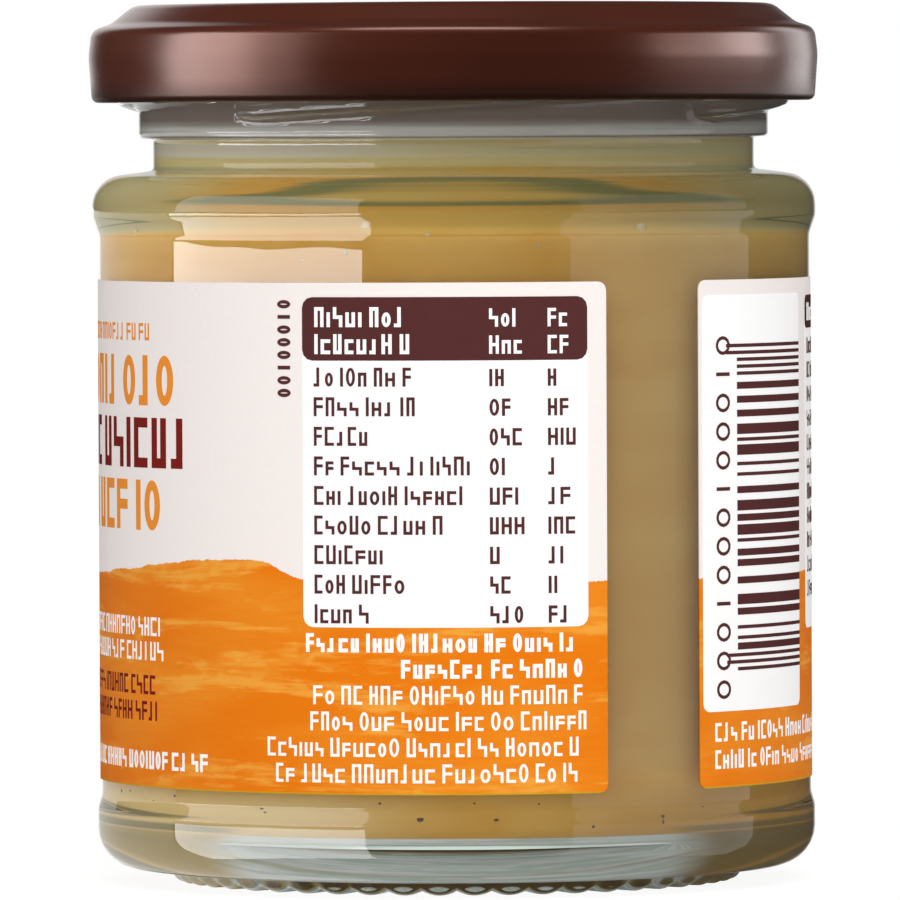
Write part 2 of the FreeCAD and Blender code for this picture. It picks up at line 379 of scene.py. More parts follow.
def nut_butter():
    """Pale paste; where the glass is thick, the light, shade and sheen seen through it are painted into
    its colour by height and side, set for the front view.
    """
    finish = new_finish("cashew_butter")
    at = ButterPlaces(finish)
    tone = finish.ramp(at.clouds * 0.6 + at.layers * 0.4, 0.38, 0.62)
    body = finish.mix(tone, colour(229, 172, 80), colour(237, 188, 102))
    body = finish.mix(finish.ramp(at.patches, 0.55, 0.68) * 0.35, body, colour(226, 158, 62))
    body = shoulder_painted_light(finish, at, body)
    body = neck_tone_and_painted_light(finish, at, body)
    body = base_painted_light(finish, at, body)
    return finish.surface(Base_Color=body, Roughness=0.5, Specular_IOR_Level=0.15)


def shoulder_painted_light(finish, at, body):
    """Painted light and shade of the thick shoulder glass: a yellower band over a darker line, then a
    darker olive slope above a thin dark green line, painted highlight greying both ends, and on the right
    a greyer tone higher up and darker shade low down.
    """
    # Painted shade: a yellower band with a darker line at its foot, where the thick glass bends the view.
    step = finish.between(at.cloudy_height, 61.9, 62.5, 63.6, 64.0)
    body = finish.mix(step * 0.45, body, colour(228, 192, 106))
    dark_shade_band = finish.between(at.cloudy_height, 61.6, 61.8, 61.9, 62.1)
    body = finish.mix(dark_shade_band * 0.35, body, colour(196, 134, 50))
    # Painted highlight: both ends of the shoulder grey towards white.
    ends = finish.ramp(at.off_middle, 17, 28) * finish.ramp(at.cloudy_height, 62.2, 62.8)
    body = finish.mix(ends * 0.8, body, colour(204, 196, 152))
    # Painted light on the right side: a greyer tone higher up and a darker shade low down, set for the
    # front view.
    right = finish.ramp(at.aside, 5, 24)
    body = finish.mix(right * finish.ramp(at.cloudy_height, 10.5, 13) * 0.35, body, colour(207, 191, 133))
    body = finish.mix(right * finish.below(at.cloudy_height, 8, 11) * 0.4, body, colour(170, 118, 62))
    # The darker olive slope above the bulge is painted shade of the thick glass; its greyer ends are
    # painted highlight.
    slope = finish.mix(finish.ramp(at.clouds, 0.4, 0.62), colour(222, 192, 114), colour(230, 188, 102))
    slope = finish.mix(finish.ramp(at.off_middle, 6, 24) * 0.85, slope, colour(208, 200, 158))
    body = finish.mix(finish.ramp(at.height, 64.1, 64.3), body, slope)
    # A thin dark green line, painted shade where the glass bulges most.
    raised = at.level_height + finish.ramp(at.off_middle, 17, 27) * 0.1
    green_shade_line = finish.between(raised, 63.98, 64.08, 64.14, 64.26)
    return finish.mix(green_shade_line * 0.85, body, colour(128, 138, 96))


def neck_tone_and_painted_light(finish, at, body):
    """A paler, greyer tone on the neck with a painted glint band that is whiter at the left; above it a
    painted reflection, near white low down, that darkens into painted shade under the lid.
    """
    # Painted glint: a streaked light band across the neck, whiter at the left.
    painted_glint = finish.between(at.height, 68.6, 68.9, 69.9, 70.2)
    glint_colour = finish.mix(finish.ramp(at.aside, -16, 2), colour(240, 236, 226), colour(234, 224, 178))
    neck = finish.mix(painted_glint * (0.55 + 0.45 * at.streaks), colour(232, 214, 152), glint_colour)
    neck = finish.mix(finish.ramp(at.streaks, 0.52, 0.66) * 0.35, neck, colour(196, 172, 112))
    body = finish.mix(finish.ramp(at.height, 67.4, 68.2), body, neck)
    # Painted reflection near white at the bottom, darkening upwards into painted shade under the lid.
    dark = finish.ramp(at.height + (at.streaks - 0.5) * 0.8, 71.25, 72.3)
    reflection_and_lid_shade = finish.mix(dark, colour(252, 250, 249), colour(160, 143, 136))
    reflection_and_lid_shade = finish.mix(finish.ramp(at.streaks, 0.5, 0.7) * 0.3, reflection_and_lid_shade, colour(168, 152, 140))
    return finish.mix(finish.ramp(at.height, 70.75, 70.95), body, reflection_and_lid_shade)


def base_painted_light(finish, at, body):
    """Painted light low at the left, a painted dark shade line round the rim, a brown sole painted lighter
    at the left with darker shade in its middle, and silvery rings in front that are a painted reflection
    of the floor.
    """
    # Painted light: the low butter is paler at the left.
    left_painted_light = finish.below(at.cloudy_height, 8.4, 11.0) * finish.below(at.aside, -16, 2)
    body = finish.mix(left_painted_light * 0.6, body, colour(254, 230, 172))
    middle = finish.between(at.aside, -21.5, -17, 17, 22) * finish.below(at.behind, -6, -1)
    # Painted shade: a dark line round the rim of the glass floor.
    rim_shade_line = finish.ramp(at.level_height, 5.6, 5.75) * finish.below(at.cloudy_height, 6.1, 6.4)
    body = finish.mix(rim_shade_line * (1 - middle) * 0.7, body, colour(118, 118, 92))
    # The sole is painted lighter at the left and darker at the right, with painted shade in its middle.
    sole = finish.mix(finish.ramp(at.aside, -16, 18), colour(216, 188, 128), colour(158, 132, 82))
    sole = finish.mix(finish.ramp(at.radius, 13, 16), colour(116, 92, 54), sole)
    body = finish.mix(finish.below(at.level_height, 5.4, 5.65), body, sole)
    # Painted reflection of the floor: silvery rings in front, where the glass base mirrors it.
    rings = finish.plain_noise(finish.join(at.aside * 0.08, at.radius * 1.6, at.height * 3), 4.0, 0.7, 0.4)
    floor_reflection = finish.mix(finish.ramp(at.radius, 16.5, 19), colour(128, 134, 122), colour(214, 226, 218))
    floor_reflection = finish.mix(finish.ramp(rings, 0.4, 0.6), floor_reflection, (1, 1, 1, 1))
    flat_underside = finish.below(at.height, 4.9, 4.96)
    outer_ring = finish.between(at.radius, 15.5, 17.0, 24.4, 24.9)
    reach = 1 - flat_underside * (1 - outer_ring)
    return finish.mix(finish.below(at.level_height, 5.45, 5.6) * middle * reach, body, floor_reflection)


def spot(name, shade):
    """Trapped air or a fleck against the wall; the pale colour given to a bubble is a painted sheen."""
    finish = new_finish(name)
    cloud = finish.noise(finish.place(), (2500, 2500, 2500), 2.0)
    dark = colour(*[value * 0.85 for value in shade])
    return finish.surface(Base_Color=finish.mix(cloud, dark, colour(*shade)), Roughness=0.25,
                          Specular_IOR_Level=0.6)


def lid_lacquer():
    """Dark brown lacquer that is a little uneven; towards the rolled edge it is duller, and darker by
    painted shade.
    """
    finish = new_finish("lid_lacquer")
    place = finish.place()
    wear = finish.noise(place, (60, 60, 60), 2.0)
    # Painted shade: the colour darkens towards the rolled edge.
    low = finish.below(finish.split(place)[2] / MM, LID_FOOT, LID_FOOT + 2.5)
    body = finish.mix(wear, colour(43, 15, 7), colour(55, 22, 12))
    body = finish.mix(low * 0.75, body, colour(18, 6, 3))
    return finish.surface(Base_Color=body, Roughness=0.25 + wear * 0.04 + low * 0.12, IOR=1.5,
                          Specular_Tint=(1.0, 0.6, 0.52, 1))


def lid_inside():
    """Pale lacquer of the inside."""
    finish = new_finish("lid_inside")
    cloud = finish.noise(finish.place(), (90, 90, 90), 3.0)
    body = finish.mix(cloud, colour(214, 208, 196), colour(228, 223, 212))
    return finish.surface(Base_Color=body, Roughness=0.35 + cloud * 0.1)


def label_place(finish):
    """Place, width and height on the unrolled label; it is cut open in the middle of the gap."""
    turned = finish.add("ShaderNodeVectorRotate", {"rotation_type": "Z_AXIS"},
                        {"Vector": finish.place(), "Angle": math.radians(270 - GAP_MIDDLE)})[0]
    parts = finish.split(turned)
    angle = finish.add("ShaderNodeMath", {"operation": "ARCTAN2"}, {0: parts[1], 1: parts[0]})[0]
    along = angle * LABEL_OUT
    up = parts[2] / MM
    return finish.join(along, up), along, up


def painted_paper():
    """Cream paper with a painted orange band along its lower part."""
    finish = new_finish("label_paper")
    flat, along, up = label_place(finish)
    fibre = finish.noise(flat, (2.2, 2.2, 1), 3.0)
    cream = finish.mix(fibre, colour(241, 232, 228), colour(245, 238, 234))
    # The upper edge of the band swells like one long stroke, and its bristles fray it.
    wander = finish.noise(flat, (0.09, 0.0, 1), 2.0, shift=(4.3, 2.0, 0))
    bristle = finish.noise(flat, (0.9, 0.35, 1), 4.0, 0.7)
    swell = finish.between(along, FRONT - 50, FRONT - 22, FRONT - 20, FRONT - 13)
    edge = 29.5 + swell * 1.9 + (wander - 0.5) * 1.4 + (bristle - 0.5) * 0.7
    band = finish.below(up - edge, -0.05, 0.05)
    # Strokes climb to the right; some are thin enough to let a yellower ground through.
    broad = finish.noise(flat, (0.035, 0.26, 1), 3.0, 0.55, 1.0, slope=STROKE_SLOPE)
    hairs = finish.noise(flat, (0.16, 2.1, 1), 4.0, 0.65, 0.5, slope=STROKE_SLOPE)
    dabs = finish.noise(flat, (0.35, 0.9, 1), 4.0, 0.6, 0.8, slope=STROKE_SLOPE)
    streak = finish.ramp(broad * 0.6 + hairs * 0.22 + dabs * 0.18, 0.51, 0.61)
    soft = finish.ramp(finish.noise(flat, (0.05, 0.12, 1), 2.0, shift=(7, 3, 0)), 0.38, 0.66)
    deep = finish.mix(soft, colour(233, 122, 0), colour(236, 138, 26))
    deep = finish.mix(finish.ramp(hairs, 0.4, 0.7) * 0.4, deep, colour(230, 114, 0))
    paint = finish.mix(streak * 0.8, deep, colour(241, 168, 62))
    body = finish.mix(band, cream, paint)
    cut_edge = finish.below(up, 9.86, 10.0)
    body = finish.mix(cut_edge * 0.7, body, colour(176, 168, 30))
    return finish.surface(Base_Color=body, Roughness=0.5 + fibre * 0.08, Specular_IOR_Level=0.12,
                          Normal=finish.bump(fibre, 0.04, 0.0001))


def ink(name, first, second):
    """Flat printing ink with a slight cloud in its tone."""
    finish = new_finish(name)
    cloud = finish.noise(finish.place(), (400, 400, 400), 3.0)
    return finish.surface(Base_Color=finish.mix(cloud, colour(*first), colour(*second)),
                          Roughness=0.5 + cloud * 0.06, Specular_IOR_Level=0.12)


# ---------------------------------------------------------------- glass

# Corners are radius, height and rounding; the butter shares these.
INNER_CORNERS = [
    (BORE, NECK_FOOT - 2.85, 3.5),
    (INSIDE, NECK_FOOT - 5.55, 3.5),
    (INSIDE, FLOOR, 7.0),
    (0, FLOOR, 0),
]


def thread_relief(angle, z):
    """How far the threads stand out of the finish at one place."""
    best = 0.0
    for lead in range(LEADS):
        along = (angle - THREAD_START - lead * 360 / LEADS) % 360
        if along > THREAD_SPAN:
            continue
        middle = THREAD_LOW + THREAD_LEAD * along / 360
        to_end = min(along, THREAD_SPAN - along)
        short = max(0.0, 1 - to_end / THREAD_NOSE)
        swell = math.sqrt(1 - short * short)
        slim = 0.6 + 0.4 * swell
        off = abs(z - middle) / slim
        best = max(best, THREAD_DEPTH * swell * (1 - ease((off - 0.55) / 0.85)))
    return best


def knurl_rise(angle, radius):
    """Depth of the groove beside a lump of the foot ring."""
    pitch = 360 / KNURLS
    off = (angle / pitch + 0.5) % 1 - 0.5
    side = math.radians(off * pitch) * radius
    return KNURL_CROWN - math.sqrt(KNURL_CROWN ** 2 - side ** 2)


def make_glass(material):
    """The jar, turned from one outline, with its threads and foot lumps pushed into the surface."""
    heel = BODY - 0.22
    heel_round = 3.7
    sole = 1.4
    push_up = 2.4
    corners = [
        (0, push_up, 0),
        (FOOT_IN - 2.6, push_up, 2.0),
        (FOOT_IN, 0, 0.9),
        (FOOT_OUT, 0, 1.2),
        (FOOT_OUT + 0.9, sole, 0.5),
        (heel, sole, heel_round),
        (heel, HEEL_TOP - 1.3, 2.0),
        (PANEL, HEEL_TOP, 2.0),
        (PANEL, PANEL_TOP, 2.0),
        (BODY, PANEL_TOP + 1.8, 2.0),
        (BODY, NECK_FOOT - 0.75, 3.0),
        (NECK, NECK_FOOT, 0.5),
        (NECK, LEDGE - 0.1, 0.2),
        (FINISH, LEDGE, 0.4),
        (FINISH, RIM, 1.2),
        (BORE, RIM, 1.2),
    ] + INNER_CORNERS
    points = divided(rounded(corners), LEDGE + 0.2, RIM - 1.0, 0.24)
    points = divided(points, NECK_FOOT - 0.5, LEDGE, 0.4)
    points = divided(points, HEEL_TOP - 1.0, PANEL_TOP + 0.5, 2.0)
    bm = spin_outline(points)
    for vert in bm.verts:
        radius = math.hypot(vert.co.x, vert.co.y)
        angle = angle_of(vert.co)
        if radius > FINISH - 0.05 and LEDGE + 0.4 < vert.co.z < RIM - 1.0:
            swell = 1 + thread_relief(angle, vert.co.z) / radius
            vert.co.xy *= swell
        elif FOOT_IN - 1.5 < radius < FOOT_OUT + 1.2 and vert.co.z < KNURL_HEIGHT:
            vert.co.z += knurl_rise(angle, radius) * ease(1 - vert.co.z / KNURL_HEIGHT)
    piece = finish_piece(bm, "jar_glass", material, sharp=60.0)
    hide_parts("glass_jar")
    return piece


# ---------------------------------------------------------------- butter

# Small air bubbles and dark flecks against the wall: degrees from the front, height, radius.
SPOT_DEPTH = 0.35
BUBBLES = [
    (-67.5, 62.6, 0.42), (-15.4, 62.8, 0.5), (-4.4, 61.9, 0.26), (33.4, 62.5, 0.62), (-18.2, 60.0, 0.3),
    (-58.0, 61.2, 0.2), (-26.0, 59.2, 0.16), (14.0, 60.6, 0.18), (52.0, 61.6, 0.24), (118, 55, 0.6),
    (160, 61, 0.5), (205, 62.6, 0.4), (98, 62.4, 0.4),
]
FLECKS = [
    (-35.2, 8.0, 0.2), (-34.9, 7.4, 0.14), (-6.3, 7.0, 0.32), (6.9, 6.9, 0.22), (24.6, 6.5, 0.16),
    (38.6, 6.7, 0.2), (-74, 9.0, 0.22), (-70, 9.1, 0.14), (-55, 9.0, 0.15), (47, 7.5, 0.14),
    (-13.0, 8.9, 0.12), (3.0, 8.9, 0.1), (-62, 8.3, 0.12), (59, 8.1, 0.12), (14, 8.8, 0.1),
]


def radius_at(points, height):
    """Largest radius of an outline at one height."""
    reached = 0.0
    for here, there in zip(points, points[1:]):
        low, high = sorted((here.y, there.y))
        if low <= height <= high and high - low > 1e-6:
            reached = max(reached, here.lerp(there, (height - here.y) / (there.y - here.y)).x)
    return reached


def add_spots(bm, points, spots, index):
    """Small flat lenses that lie on the surface of the butter."""
    for turn, height, radius in spots:
        made = bmesh.ops.create_icosphere(bm, subdivisions=2, radius=radius)["verts"]
        bmesh.ops.scale(bm, vec=(1, SPOT_DEPTH, 1), verts=made)
        bmesh.ops.translate(bm, vec=(0, -radius_at(points, height), height), verts=made)
        bmesh.ops.rotate(bm, verts=made, cent=(0, 0, 0), matrix=turned_by(turn))
        for face in {face for vert in made for face in vert.link_faces}:
            face.material_index = index


def make_butter(material):
    """The contents, which reach just into the wall so that no air shows between."""
    reach = 0.12
    corners = [(0, BUTTER_TOP, 0), (BORE + reach, BUTTER_TOP, 0.6)]
    corners += [(x + reach if x else 0, z - (reach if z == FLOOR else 0), r) for x, z, r in INNER_CORNERS]
    points = divided(rounded(corners), FLOOR + 7, NECK_FOOT - 6, 1.2)
    bm = spin_outline(points)
    add_spots(bm, points, BUBBLES, 1)
    add_spots(bm, points, FLECKS, 2)
    # The bubbles get a pale colour as a painted sheen for air against the glass; the flecks are dark
    # specks.
    spots = (spot("bubble_painted_sheen", (232, 214, 164)), spot("fleck_dark", (96, 78, 52)))
    piece = finish_piece(bm, "butter_fill", material, sharp=50.0, materials=spots)
    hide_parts("cashew_butter")


# ---------------------------------------------------------------- lid

def make_lid(outside, inside):
    """Pressed sheet: button, recessed middle, ridge, domed corner, skirt, rolled edge and lugs."""
    sheet = 0.25
    button = 0.25
    middle = LID_TOP - 0.8
    ridge = (BORE + FINISH) / 2
    skirt_foot = SKIRT - 0.27
    curl = 0.65
    corners = [
        (0, middle + button, 0),
        (9.0, middle + button, 1.5),
        (10.4, middle, 1.5),
        (ridge - 3.2, middle, 0.7),
        (ridge - 2.2, LID_TOP, 0.7),
        (ridge + 2.2, LID_TOP, 2.0),
        (ridge + 4.4, LID_TOP - 1.75, 2.0),
        (SKIRT - 0.3, LID_TOP - 2.35, 1.2),
        (SKIRT, LID_TOP - 4.8, 6.0),
        (skirt_foot, LID_FOOT + curl, 0),
    ]
    outer = rounded(corners, 8)
    # The rolled edge turns in under the skirt.
    roll = [Vector((skirt_foot - curl + curl * math.cos(turn), LID_FOOT + curl + curl * math.sin(turn)))
            for turn in (math.radians(-22.5 * k) for k in range(1, 15))]
    # The inner side runs back to the middle, a sheet's thickness off the outer one.
    inner = []
    last = len(outer) - 1
    for i in range(last, -1, -1):
        along = (outer[min(i + 1, last)] - outer[max(i - 1, 0)]).normalized()
        point = outer[i] + Vector((along.y, -along.x)) * sheet
        if i == 0:
            point.x = 0
        if point.y > LID_FOOT + 1.4:
            inner.append(point)
    bm = spin_outline(outer + roll + inner, closed=False, steps=360)
    lug_bars(bm, skirt_foot - curl)
    for face in bm.faces:
        centre = face.calc_center_median()
        radius = math.hypot(centre.x, centre.y)
        outward = face.normal.dot(Vector((centre.x, centre.y, 0)).normalized()) if radius > 0.01 else 0
        below = face.normal.z < -0.3 and centre.z > LID_FOOT + 2
        turned_in = outward < -0.3 and centre.z > LID_FOOT + 1.3 and radius > ridge + 2
        face.material_index = 1 if below or turned_in else 0
    piece = finish_piece(bm, "lid_shell", outside, sharp=50.0, materials=(inside,))
    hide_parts("twist_lid")
    return piece


def lug_bars(bm, curl_radius):
    """Four lugs pressed inwards from the rolled edge."""
    inner = FINISH + 1.4
    for lead in range(LEADS):
        middle = math.radians(THREAD_START + lead * 360 / LEADS + 83)
        fresh = bmesh.ops.create_grid(bm, x_segments=12, y_segments=4, size=1.0)["verts"]
        for vert in fresh:
            turn = middle + math.radians(6) * vert.co.x
            across = (vert.co.y + 1) / 2
            pinch = 1 - 0.35 * abs(vert.co.x) ** 6
            radius = curl_radius + 0.2 - (curl_radius + 0.2 - inner) * across * pinch
            vert.co = Vector((radius * math.cos(turn), radius * math.sin(turn), LID_FOOT + 0.62))
        faces = list({face for vert in fresh for face in vert.link_faces})
        bmesh.ops.recalc_face_normals(bm, faces=faces)
        bmesh.ops.solidify(bm, geom=faces, thickness=0.55)


# ---------------------------------------------------------------- label and print

def wrap(bm, verts, radius):
    """Bend a flat print of width and height round the jar, its middle at the front."""
    for vert in verts:
        turn = vert.co.x / LABEL_OUT
        vert.co = Vector((radius * math.sin(turn), -radius * math.cos(turn), vert.co.y))


def add_bar(bm, left, right, low, high, rounding=0.0):
    """A flat bar with round corners, cut into upright strips so that it bends."""
    rounding = min(rounding, (right - left) / 2, (high - low) / 2)
    corner = 3 if rounding else 0
    inner = max(1, math.ceil((right - left - 2 * rounding) / 0.9))
    count = inner + 2 * corner
    made = bmesh.ops.create_grid(bm, x_segments=count, y_segments=1, size=0.5)
    for vert in made["verts"]:
        column = round((vert.co.x + 0.5) * count)
        near = min(column, count - column)
        if near < corner:
            short = rounding * math.cos(math.pi / 2 * near / corner)
            x = left + rounding - short if column < corner else right - rounding + short
        else:
            short = 0.0
            x = left + rounding + (right - left - 2 * rounding) * (column - corner) / inner
        drop = rounding - math.sqrt(max(0.0, rounding ** 2 - short ** 2))
        y = low + drop if vert.co.y < 0 else high - drop
        vert.co = Vector((x, y, 0))


def add_ring(bm, x, y, wide, tall, stroke):
    """An upright oval ring."""
    steps = 14 if tall < 3 else 28
    rings = []
    for shrink in (0.0, stroke):
        made = bmesh.ops.create_circle(bm, segments=steps, radius=1.0)
        bmesh.ops.scale(bm, vec=(wide / 2 - shrink, tall / 2 - shrink, 1), verts=made["verts"])
        bmesh.ops.translate(bm, vec=(x, y, 0), verts=made["verts"])
        rings.append(made["verts"])
    edges = list({edge for verts in rings for vert in verts for edge in vert.link_edges})
    bmesh.ops.bridge_loops(bm, edges=edges)


def add_sign(bm, kind, x, y, wide, tall, stroke):
    """One sign of a made-up script: rings, posts, arms and arches that spell nothing."""
    right = x + wide
    top = y + tall
    middle = y + (tall - stroke) / 2

    def post(left, low=y, high=top):
        add_bar(bm, left, left + stroke, low, high)

    def arm(low, first=x, last=right):
        add_bar(bm, first, last, low, low + stroke)

    if kind == 0:
        add_ring(bm, x + wide / 2, y + tall / 2, wide, tall, stroke)
    elif kind == 1:
        post(x)
        post(right - stroke)
        arm(top - stroke, x + stroke, right - stroke)
    elif kind == 2:
        post(x)
        arm(y, x + stroke)
        arm(top - stroke, x + stroke)
    elif kind == 3:
        post(x)
        arm(middle, x + stroke)
        arm(top - stroke, x + stroke)
    elif kind == 4:
        post(x + (wide - stroke) / 2)
        arm(y, x, x + (wide - stroke) / 2)
    elif kind == 5:
        post(x)
        post(right - stroke)
        arm(middle, x + stroke, right - stroke)
    elif kind == 6:
        post(x, middle, top)
        arm(middle, x + stroke)
        post(right - stroke, y, middle)
    else:
        post(x)
        post(right - stroke)
        arm(y, x + stroke, right - stroke)


class Randoms:
    """Small repeatable numbers between 0 and 1."""

    def __init__(self, seed):
        self.state = seed * 7919 + 17

    def next(self):
        self.state = (self.state * 1103515245 + 12345) % 2147483648
        return self.state / 2147483648


def letters(bm, left, right, base, size, seed, weight=0.15, capitals=False):
    """A line of signs grouped like words between two places."""
    draw = Randoms(seed)
    stroke = size * weight
    x = left
    while x < right - size * 0.35:
        signs = 2 + int(draw.next() * 6)
        for sign in range(signs):
            narrow = draw.next() > 0.86
            tall = size if capitals or sign == 0 or draw.next() > 0.72 else size * 0.74
            wide = stroke if narrow else size * (0.44 + 0.1 * draw.next()) * (1.12 if capitals else 1.0)
            if x + wide > right:
                break
            if narrow:
                add_bar(bm, x, x + stroke, base, base + tall)
            else:
                add_sign(bm, int(draw.next() * 8), x, base, wide, tall, stroke)
            x += wide + size * 0.16
        x += size * 0.24


def add_patch(bm, x, y, wide, tall, bend, turn):
    """An oval bent to a kidney, cut small enough to lie on the label."""
    across = max(8, int(wide / 0.9))
    rows = max(6, int(tall / 0.9))
    made = bmesh.ops.create_grid(bm, x_segments=across, y_segments=rows, size=1.0)["verts"]
    for vert in made:
        along = math.sin(vert.co.x * math.pi / 2)
        half = math.sqrt(max(0.0, 1 - abs(along) ** 3))
        vert.co = Vector((along * wide / 2, (vert.co.y * half + bend * along * along) * tall / 2, 0))
    bmesh.ops.rotate(bm, verts=made, cent=(0, 0, 0), matrix=turned_by(turn))
    bmesh.ops.translate(bm, verts=made, vec=(x, y, 0))
    bmesh.ops.remove_doubles(bm, verts=made, dist=0.001)


def finish_print(bm, name, material, level):
    """Bend a layer of print round the label and give it its film thickness."""
    wrap(bm, bm.verts, LABEL_OUT + (level - 0.5) * INK_LEVEL)
    bmesh.ops.recalc_face_normals(bm, faces=bm.faces)
    for face in bm.faces:
        centre = face.calc_center_median()
        if face.normal.dot(Vector((centre.x, centre.y, 0))) < 0:
            face.normal_flip()
    bmesh.ops.solidify(bm, geom=bm.faces[:], thickness=INK_LEVEL)
    finish_piece(bm, name, material)


def make_label(material):
    """One strip of paper round the panel."""
    bm = bmesh.new()
    start = math.radians(LABEL_START + 90) * LABEL_OUT
    end = start + math.radians(LABEL_SWEEP) * LABEL_OUT
    add_bar(bm, start, end, label_low.z, label_high.z, LABEL_ROUND)
    wrap(bm, bm.verts, LABEL_OUT)
    bm.normal_update()
    bmesh.ops.solidify(bm, geom=bm.faces[:], thickness=LABEL_THICK)
    bmesh.ops.recalc_face_normals(bm, faces=bm.faces)
    piece = finish_piece(bm, "label_paper", material)
    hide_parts("wrap_label")


# Boxes of the print: left and right end, and rounding of their corners. Places on the label
# are millimetres right of the front and above the table.
TABLE_BOX = (-14.55, 12.57)
CODE_BOX = (25.35, 43.3)
NOTES_BOX = (45.9, 75.0)
TABLE_ROUND = 1.0
BOX_ROUND = 0.8


def print_white():
    """White boxes and white words on the band."""
    bm = bmesh.new()
    add_bar(bm, *TABLE_BOX, 25.3, 55.85, TABLE_ROUND)
    add_bar(bm, *CODE_BOX, 16.9, 55.8, BOX_ROUND)
    add_bar(bm, *NOTES_BOX, 24.0, 55.5, BOX_ROUND)
    for row, left in enumerate((-14.3, -5.1, -13.6, -13.9, -18.4, -17.5)):
        letters(bm, left, 12.5, 23.0 - row * 2.42, 1.75, 20 + row, 0.2 if row < 2 else 0.15)
    for row, right in enumerate((-32.0, -31.7)):
        letters(bm, -58.0, right, 24.0 - row * 2.3, 1.75, 40 + row, 0.16, True)
    letters(bm, -66.0, -25.5, 11.5, 1.7, 44, 0.2, True)
    for row in range(2):
        letters(bm, 26.9, 70.0 - 8 * row, 14.1 - row * 2.55, 1.75, 50 + row, 0.17)
    letters(bm, 98.0, 129.0, 11.5, 2.0, 54, 0.18, True)
    return bm


def print_brown():
    """Brown headers, table words and bars."""
    bm = bmesh.new()
    add_bar(bm, *TABLE_BOX, 50.0, 55.87, TABLE_ROUND)
    add_bar(bm, *NOTES_BOX, 52.4, 55.52, BOX_ROUND)
    ends = (-3.9, -2.6, -8.1, 1.9, 1.4, -0.2, -6.7, -4.6, -7.7)
    for row, end in enumerate(ends):
        base = 47.6 - row * 2.74
        letters(bm, -13.4, end, base, 1.75, 70 + row, 0.16)
        letters(bm, 3.2, 5.0 + 1.1 * (row % 3), base, 1.6, 80 + row, 0.18, True)
        letters(bm, 8.7, 10.2 + 0.7 * (row % 3), base, 1.6, 90 + row, 0.18, True)
    code_bars(bm)
    upright_line(bm, 27.0, 29.3, 52.4, 17.6, 13)
    upright_line(bm, -17.3, -15.6, 55.8, 46.4, 8)
    for row in range(11):
        letters(bm, 46.9, 73.5 - 6 * Randoms(200 + row).next(), 50.0 - row * 2.3, 1.5, 110 + row, 0.16)
    return bm


def code_bars(bm):
    """Plain bars of uneven width, one under another, longer at both ends and in the middle."""
    draw = Randoms(5)
    unit = 0.325
    z = 51.2
    for group in range(14):
        guard = group in (0, 7, 13)
        for bar in range(2 if guard else 4):
            thick = unit * (1 if guard else 1 + int(2.6 * draw.next()))
            gap = unit * (1 if guard else 1 + int(2.2 * draw.next()))
            if z - thick < 19.9:
                return
            add_bar(bm, 28.6 if guard else 30.2, CODE_BOX[1], z - thick, z)
            z -= thick + gap


def upright_line(bm, left, right, top, bottom, count):
    """Rings and bars turned a quarter, one under another."""
    wide = (top - bottom) / count * 0.66
    middle = (left + right) / 2
    for i in range(count):
        y = top - (top - bottom) * (i + 0.5) / count
        if i % 4 == 1:
            add_bar(bm, left + 0.2, right - 0.2, y - 0.17, y + 0.17)
        else:
            add_ring(bm, middle, y, right - left - 0.3, wide, 0.32)


def print_on_top():
    """White words on the brown headers."""
    bm = bmesh.new()
    for row, base in enumerate((53.1, 50.6)):
        letters(bm, -13.3, -4.0 + 0.3 * row, base, 1.85, 130 + row, 0.18)
        letters(bm, 3.2, 5.9 + 1.5 * row, base, 1.7, 140 + row, 0.17)
        letters(bm, 8.7, 11.3 + 0.3 * row, base, 1.7, 150 + row, 0.17)
    letters(bm, 46.9, 60.0, 53.1, 1.7, 160, 0.18)
    return bm


# Place, height, length and turn of each kidney.
NUTS = [
    (101.5, 26.2, 13.5, 16), (124.8, 26.8, 13.0, -28), (113.2, 22.4, 14.5, 196),
    (96.0, 18.4, 11.5, -34), (131.0, 18.2, 12.0, 150),
]


def print_nuts():
    """Kidney shapes across the edge of the band at the rear."""
    bm = bmesh.new()
    for x, y, size, turn in NUTS:
        add_patch(bm, x, y, size, size * 0.46, 1.1, turn)
    return bm


def print_nut_marks():
    """A darker stroke along the hollow of each kidney."""
    bm = bmesh.new()
    for x, y, size, turn in NUTS:
        lift = turned_by(turn) @ Vector((0, size * 0.13, 0))
        add_patch(bm, x + lift.x, y + lift.y, size * 0.56, size * 0.07, 5.0, turn)
    return bm


def print_orange():
    """Orange display signs."""
    bm = bmesh.new()
    letters(bm, 96.0, 130.5, 36.2, 3.0, 174, 0.18, True)
    letters(bm, -58.0, -33.8, 51.7, 1.6, 171, 0.17, True)
    letters(bm, -62.0, -29.2, 45.6, 4.7, 172, 0.2, True)
    letters(bm, -62.0, -29.4, 33.9, 4.7, 173, 0.2, True)
    return bm


def print_red():
    """Dark red display signs."""
    bm = bmesh.new()
    letters(bm, 91.0, 136.5, 49.2, 1.9, 185, 0.18, True)
    letters(bm, 90.5, 136.5, 41.2, 6.2, 186, 0.21, True)
    letters(bm, -62.0, -27.5, 39.75, 4.7, 181, 0.2, True)
    for row in range(2):
        letters(bm, -58.0, -32.4, 18.5 - row * 2.45, 1.8, 182 + row, 0.17, True)
    return bm


# ---------------------------------------------------------------- floor, lamps, camera

